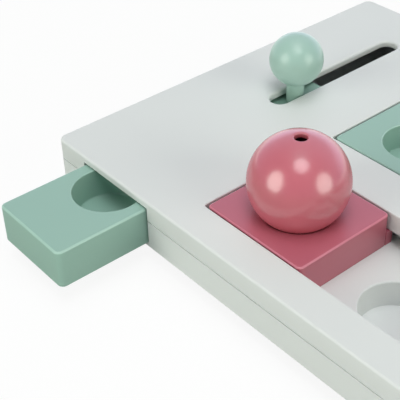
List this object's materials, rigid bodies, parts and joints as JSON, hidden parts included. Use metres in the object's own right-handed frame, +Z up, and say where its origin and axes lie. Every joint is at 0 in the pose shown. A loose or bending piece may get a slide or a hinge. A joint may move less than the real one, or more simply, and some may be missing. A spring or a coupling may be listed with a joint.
{
  "type": "cat puzzle feeder board",
  "caption": "Flat feeding puzzle board for a cat with sliding tiles over round treat wells, a lift-off ball and a drawer pushed out by a ball lever.",
  "frame": {"origin": "middle of the footprint on the floor, with the drawer out as in the picture", "axes": "+Z up; +X from the drawer's side to the opposite side; +Y from the front to the back strip that holds the drawer"},
  "size_m": [0.2422, 0.255, 0.0639],
  "materials": {
    "white_shell": "satin moulded",
    "mint_plastic": "satin moulded",
    "berry_plastic": "semi-gloss moulded",
    "berry_gloss": "gloss moulded",
    "rubber": "matte",
    "steel": "zinc plated"
  },
  "bodies": {
    "board": {"top_cover": "white_shell", "base_tray": "white_shell", "cover_screws": "steel", "foot_back_left": "rubber", "foot_back_right": "rubber", "foot_front_left": "rubber", "foot_front_right": "rubber"},
    "drawer": {"drawer": "mint_plastic", "lever_knob": "mint_plastic", "lever_screw": "steel"},
    "ball_tile": {"ball_tile": "berry_plastic"},
    "ball": {"treat_ball": "berry_gloss"},
    "back_tile": {"back_tile": "mint_plastic"},
    "front_tile": {"front_tile": "berry_plastic"}
  },
  "joints": [
    {"name": "drawer_slide", "type": "slide", "parent": "board", "child": "drawer", "axis": [-1, 0, 0], "range_m": [-0.0421, 0.0098]},
    {"name": "ball_tile_slide", "type": "slide", "parent": "board", "child": "ball_tile", "axis": [0, -1, 0], "range_m": [0, 0.10606]},
    {"name": "ball_lift", "type": "slide", "parent": "ball_tile", "child": "ball", "axis": [0, 0, 1], "range_m": [0, 0.08]},
    {"name": "back_tile_slide", "type": "slide", "parent": "board", "child": "back_tile", "axis": [1, 0, 0], "range_m": [0, 0.04785]},
    {"name": "front_tile_slide", "type": "slide", "parent": "board", "child": "front_tile", "axis": [-1, 0, 0], "range_m": [0, 0.04785]}
  ]
}
